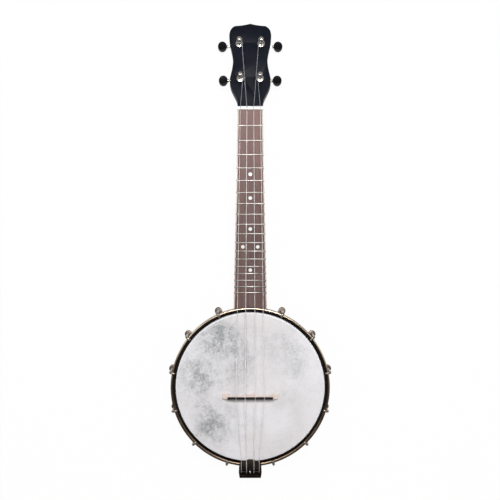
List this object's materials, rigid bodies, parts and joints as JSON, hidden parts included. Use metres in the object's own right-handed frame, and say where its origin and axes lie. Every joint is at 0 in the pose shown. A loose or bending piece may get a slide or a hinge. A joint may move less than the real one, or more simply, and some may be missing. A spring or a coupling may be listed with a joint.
{
  "type": "banjo ukulele",
  "caption": "Banjo ukulele: round skin-headed pot with tension hooks, fretted neck, headstock with geared tuners, bridge, tailpiece and strings.",
  "frame": {"origin": "centre of the bounding box on the plane that the rim's back edge rests on", "axes": "+Z out of the head, +Y along the neck towards the headstock, +X to the right seen from the front with the headstock up"},
  "size_m": [0.2268, 0.6248, 0.0746],
  "materials": {
    "pot_wood": "satin black lacquer outside and on the back edge, bare maple inside",
    "bell_brass": "plain turned brass",
    "head": "pale mottled drum head",
    "aged_bronze": "antique bronze plating, rubbed lighter on edges",
    "steel": "plain steel",
    "neck_lacquer": "satin black lacquer on wood",
    "fretboard_wood": "oiled brown wood, open grain",
    "binding": "cream binding, polished",
    "nickel": "bright nickel plating",
    "pearl": "pearl",
    "marker_dots": "black dots on the cream edge",
    "bone": "polished bone",
    "maple": "sanded maple",
    "ebony": "polished dark wood",
    "knob_black": "black, polished",
    "nylon": "clear nylon"
  },
  "bodies": {
    "instrument": {"bracket_shoes": "aged_bronze", "bridge_body": "maple", "bridge_cap": "ebony", "coordinator_rod": "steel", "flesh_hoop": "aged_bronze", "fret_markers": "pearl", "fretboard": "fretboard_wood", "fretboard_binding": "binding", "frets": "nickel", "head_skin": "head", "headstock_veneer": "neck_lacquer", "neck": "neck_lacquer", "neck_hanger_bolt": "steel", "rim": "pot_wood", "rod_nuts": "steel", "rod_washers": "steel", "shoe_bolts": "steel", "side_markers": "marker_dots", "string_a": "nylon", "string_c": "nylon", "string_e": "nylon", "string_g": "nylon", "string_nut": "bone", "tail_bolt": "steel", "tailpiece_bar": "aged_bronze", "tailpiece_bracket": "aged_bronze", "tailpiece_hook": "aged_bronze", "tailpiece_nut": "aged_bronze", "tailpiece_plate": "aged_bronze", "tension_hooks": "aged_bronze", "tension_hoop": "aged_bronze", "tone_ring": "bell_brass", "tuner_bushings": "nickel", "tuner_housings": "nickel", "tuner_screws": "nickel", "tuner_washers": "nickel"},
    "post_upper_left": {"string_post_upper_left": "nickel"},
    "knob_upper_left": {"worm_shaft_upper_left": "nickel", "tuner_knob_upper_left": "knob_black"},
    "post_upper_right": {"string_post_upper_right": "nickel"},
    "knob_upper_right": {"worm_shaft_upper_right": "nickel", "tuner_knob_upper_right": "knob_black"},
    "post_lower_left": {"string_post_lower_left": "nickel"},
    "knob_lower_left": {"worm_shaft_lower_left": "nickel", "tuner_knob_lower_left": "knob_black"},
    "post_lower_right": {"string_post_lower_right": "nickel"},
    "knob_lower_right": {"worm_shaft_lower_right": "nickel", "tuner_knob_lower_right": "knob_black"},
    "nut_01": {"hook_nut_01": "aged_bronze"},
    "nut_02": {"hook_nut_02": "aged_bronze"},
    "nut_03": {"hook_nut_03": "aged_bronze"},
    "nut_04": {"hook_nut_04": "aged_bronze"},
    "nut_05": {"hook_nut_05": "aged_bronze"},
    "nut_06": {"hook_nut_06": "aged_bronze"},
    "nut_07": {"hook_nut_07": "aged_bronze"},
    "nut_08": {"hook_nut_08": "aged_bronze"},
    "nut_09": {"hook_nut_09": "aged_bronze"},
    "nut_10": {"hook_nut_10": "aged_bronze"},
    "nut_11": {"hook_nut_11": "aged_bronze"},
    "nut_12": {"hook_nut_12": "aged_bronze"}
  },
  "joints": [
    {"name": "post_turn_upper_left", "type": "hinge", "parent": "instrument", "child": "post_upper_left", "pos_m": [-0.0151, 0.28336, 0.03083], "axis": [0, 0.2284, 0.9736], "continuous": true},
    {"name": "knob_turn_upper_left", "type": "hinge", "parent": "instrument", "child": "knob_upper_left", "pos_m": [-0.0151, 0.28341, 0.01001], "axis": [-1, 0, 0], "continuous": true},
    {"name": "post_turn_upper_right", "type": "hinge", "parent": "instrument", "child": "post_upper_right", "pos_m": [0.0151, 0.28336, 0.03083], "axis": [0, 0.2284, 0.9736], "continuous": true},
    {"name": "knob_turn_upper_right", "type": "hinge", "parent": "instrument", "child": "knob_upper_right", "pos_m": [0.0151, 0.28341, 0.01001], "axis": [1, 0, 0], "continuous": true},
    {"name": "post_turn_lower_left", "type": "hinge", "parent": "instrument", "child": "post_lower_left", "pos_m": [-0.0135, 0.23342, 0.04254], "axis": [0, 0.2284, 0.9736], "continuous": true},
    {"name": "knob_turn_lower_left", "type": "hinge", "parent": "instrument", "child": "knob_lower_left", "pos_m": [-0.0135, 0.23347, 0.02173], "axis": [-1, 0, 0], "continuous": true},
    {"name": "post_turn_lower_right", "type": "hinge", "parent": "instrument", "child": "post_lower_right", "pos_m": [0.0135, 0.23342, 0.04254], "axis": [0, 0.2284, 0.9736], "continuous": true},
    {"name": "knob_turn_lower_right", "type": "hinge", "parent": "instrument", "child": "knob_lower_right", "pos_m": [0.0135, 0.23347, 0.02173], "axis": [1, 0, 0], "continuous": true},
    {"name": "nut_turn_01", "type": "hinge", "parent": "instrument", "child": "nut_01", "pos_m": [0.04453, -0.08691, 0.015], "axis": [0, 0, 1], "continuous": true},
    {"name": "nut_turn_02", "type": "hinge", "parent": "instrument", "child": "nut_02", "pos_m": [0.08655, -0.11942, 0.015], "axis": [0, 0, 1], "continuous": true},
    {"name": "nut_turn_03", "type": "hinge", "parent": "instrument", "child": "nut_03", "pos_m": [0.10851, -0.16781, 0.015], "axis": [0, 0, 1], "continuous": true},
    {"name": "nut_turn_04", "type": "hinge", "parent": "instrument", "child": "nut_04", "pos_m": [0.10531, -0.22084, 0.015], "axis": [0, 0, 1], "continuous": true},
    {"name": "nut_turn_05", "type": "hinge", "parent": "instrument", "child": "nut_05", "pos_m": [0.0777, -0.26623, 0.015], "axis": [0, 0, 1], "continuous": true},
    {"name": "nut_turn_06", "type": "hinge", "parent": "instrument", "child": "nut_06", "pos_m": [0.03208, -0.29346, 0.015], "axis": [0, 0, 1], "continuous": true},
    {"name": "nut_turn_07", "type": "hinge", "parent": "instrument", "child": "nut_07", "pos_m": [-0.04453, -0.08691, 0.015], "axis": [0, 0, 1], "continuous": true},
    {"name": "nut_turn_08", "type": "hinge", "parent": "instrument", "child": "nut_08", "pos_m": [-0.08655, -0.11942, 0.015], "axis": [0, 0, 1], "continuous": true},
    {"name": "nut_turn_09", "type": "hinge", "parent": "instrument", "child": "nut_09", "pos_m": [-0.10851, -0.16781, 0.015], "axis": [0, 0, 1], "continuous": true},
    {"name": "nut_turn_10", "type": "hinge", "parent": "instrument", "child": "nut_10", "pos_m": [-0.10531, -0.22084, 0.015], "axis": [0, 0, 1], "continuous": true},
    {"name": "nut_turn_11", "type": "hinge", "parent": "instrument", "child": "nut_11", "pos_m": [-0.0777, -0.26623, 0.015], "axis": [0, 0, 1], "continuous": true},
    {"name": "nut_turn_12", "type": "hinge", "parent": "instrument", "child": "nut_12", "pos_m": [-0.03208, -0.29346, 0.015], "axis": [0, 0, 1], "continuous": true}
  ],
  "couplings": [
    {"joint": "post_turn_upper_left", "follows": "knob_turn_upper_left", "ratio": -0.071429},
    {"joint": "post_turn_upper_right", "follows": "knob_turn_upper_right", "ratio": 0.071429},
    {"joint": "post_turn_lower_left", "follows": "knob_turn_lower_left", "ratio": -0.071429},
    {"joint": "post_turn_lower_right", "follows": "knob_turn_lower_right", "ratio": 0.071429}
  ]
}
